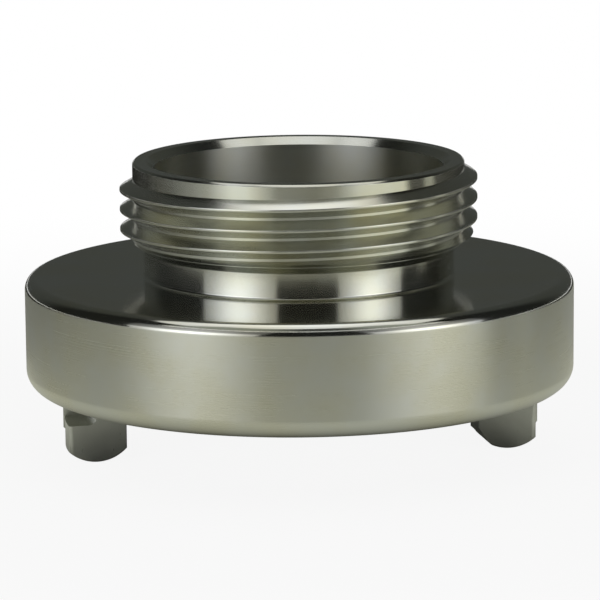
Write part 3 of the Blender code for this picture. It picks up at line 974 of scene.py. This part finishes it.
def mirror_only(item):
    """Show a stage piece in the metal's reflections only."""
    item.visible_camera = False
    item.visible_diffuse = False
    item.visible_shadow = False
    item.visible_transmission = False


def painted_reflection_card(name, rows, sides, tint, level_at):
    """A glowing card of rows (radius, height) between two side angles, seen only in reflections: a
    painted reflection, not a lamp.
    """
    start, end = sides
    steps = round((end - start) / CARD_STEP)
    work = bmesh.new()
    rings = []
    levels = []
    for radius, height in rows:
        ring = []
        for step in range(steps + 1):
            side = start + (end - start) * step / steps
            ring.append(work.verts.new(toward(side, 0) * radius + Vector((0, 0, height))))
            levels.append(level_at(radius, side))
        rings.append(ring)
    for here, there in zip(rings, rings[1:]):
        for step in range(steps):
            work.faces.new((here[step], there[step], there[step + 1], here[step + 1]))
    card = new_object(name, work)
    card.data.attributes.new("brightness", "FLOAT", "POINT").data.foreach_set("value", levels)
    card.data.materials.append(glow_material(name, tint))
    mirror_only(card)


def table_level(radius, side):
    """Glow of the table card, a painted reflection of the floor: painted shade at the lugs' feet,
    painted light in two fans before the softboxes.
    """
    base = between(radius, TABLE_BASE)
    far = between(radius, [(MIDDLE_TABLE_END, 0.0), (FAR_TABLE_START, 1.0)])
    middle = between(radius, [(NEAR_TABLE_END, 0.0), (MIDDLE_TABLE_START, 1.0)]) * (1 - far)
    middle_fan = between(side, MIDDLE_FAN) * between(radius, MIDDLE_FAN_FADE)
    far_fan = between(side, FAR_FAN)
    fade = between(radius, [(FAN_FADE_START, 1.0), (FAN_END, 0.0)])
    return (base * (1 - middle - far) + middle * middle_fan
            + far * (far_fan * fade + FAR_TABLE_LEVEL * (1 - fade)))


def curtain_level(radius, side):
    """Glow of the curtain card, a painted dark reflection: darkest at its two ends."""
    return between(side, CURTAIN_LEVELS)


def camera_card_level(radius, side):
    """Glow of the painted dark reflection round the camera, the same all over."""
    return CAMERA_CARD_LEVEL


def ceiling_level(radius, side):
    """Glow of the ceiling card in front, a painted reflection: dark over the camera, brighter to both
    sides.
    """
    return between(side, CEILING_LEVELS)


def painted_reflection_cards():
    """Four glowing cards that paint light and shade into the metal's reflections; past them it mirrors
    the white floor and background.
    """
    table = [(radius, TABLE_CARD_HEIGHT) for radius in TABLE_CARD_RADII]
    painted_reflection_card("painted_table_reflection", table, TABLE_CARD_SIDES, TABLE_TINT, table_level)
    painted_reflection_card("painted_curtain_reflection", CURTAIN_ROWS, CURTAIN_SIDES, WALL_TINT, curtain_level)
    painted_reflection_card("painted_camera_reflection", CAMERA_CARD_ROWS, CAMERA_CARD_SIDES, WALL_TINT, camera_card_level)
    painted_reflection_card("painted_ceiling_reflection", CEILING_CARD_ROWS, CEILING_CARD_SIDES, WALL_TINT, ceiling_level)


def grey_ramp(nodes, links, value, profile):
    """A grey level by value, from pairs (position, level), with a soft change between them."""
    ramp = nodes.new("ShaderNodeValToRGB")
    ramp.color_ramp.interpolation = "EASE"
    steps = ramp.color_ramp.elements
    steps[0].position = profile[0][0]
    steps[1].position = profile[-1][0]
    for position, _ in profile[1:-1]:
        steps.new(position)
    for step, (_, level) in zip(steps, profile):
        step.color = (level, level, level, 1.0)
    links.new(value, ramp.inputs["Fac"])
    return ramp.outputs["Color"]


def soften_edges(data):
    """Let a softbox grow dimmer towards its left and right edges, and most towards its top."""
    data.use_nodes = True
    nodes, links = data.node_tree.nodes, data.node_tree.links
    spot = nodes.new("ShaderNodeNewGeometry")
    split = nodes.new("ShaderNodeSeparateXYZ")
    links.new(spot.outputs["Parametric"], split.inputs[0])
    across = grey_ramp(nodes, links, split.outputs["X"], SOFTBOX_ACROSS)
    upward = grey_ramp(nodes, links, split.outputs["Y"], SOFTBOX_UPWARD)
    level = calculate(nodes, links, "MULTIPLY", across, upward)
    links.new(level, nodes["Emission"].inputs["Strength"])


def softbox(name, side, elevation, distance, width, height, brightness, colour):
    """A rectangular soft light aimed at the adapter, its brightness as the metal mirrors it."""
    data = bpy.data.lights.new(name, "AREA")
    data.shape = "RECTANGLE"
    data.size = width
    data.size_y = height
    data.color = colour
    data.energy = brightness * math.pi * width * height
    soften_edges(data)
    lamp = bpy.data.objects.new(name, data)
    bpy.context.scene.collection.objects.link(lamp)
    direction = toward(side, elevation)
    lamp.matrix_world = (Matrix.Translation(direction * distance)
                         @ direction.to_track_quat("Z", "Y").to_matrix().to_4x4())
    lamp.visible_camera = False
    return lamp


def softbox_back(lamp):
    """The opaque black back of a softbox, which hides the white background from the metal."""
    back = flat_panel(lamp.name + "_back", lamp.data.size, lamp.data.size_y)
    back.matrix_world = lamp.matrix_world @ Matrix.Translation((0, 0, SOFTBOX_DEPTH))
    back.data.materials.append(glow_material(back.name, WALL_TINT))
    mirror_only(back)


def light_studio():
    """Two softboxes with backs beside the camera, a round one overhead, and the painted reflection
    cards.
    """
    softbox_back(softbox("softbox_left", *LEFT_SOFTBOX))
    softbox_back(softbox("softbox_right", *RIGHT_SOFTBOX))
    overhead = softbox("softbox_overhead", *OVERHEAD_SOFTBOX)
    overhead.data.shape = "ELLIPSE"
    painted_reflection_cards()


body = adapter_body(body_finishes())
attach(body, "root")
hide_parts("adapter_body")

seal = storz_seal(moulded_rubber("moulded_rubber"))
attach(seal, "root")
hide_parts("storz_seal")

set_camera()
set_world()
set_floor()
light_studio()
bpy.context.scene.view_settings.view_transform = "Standard"
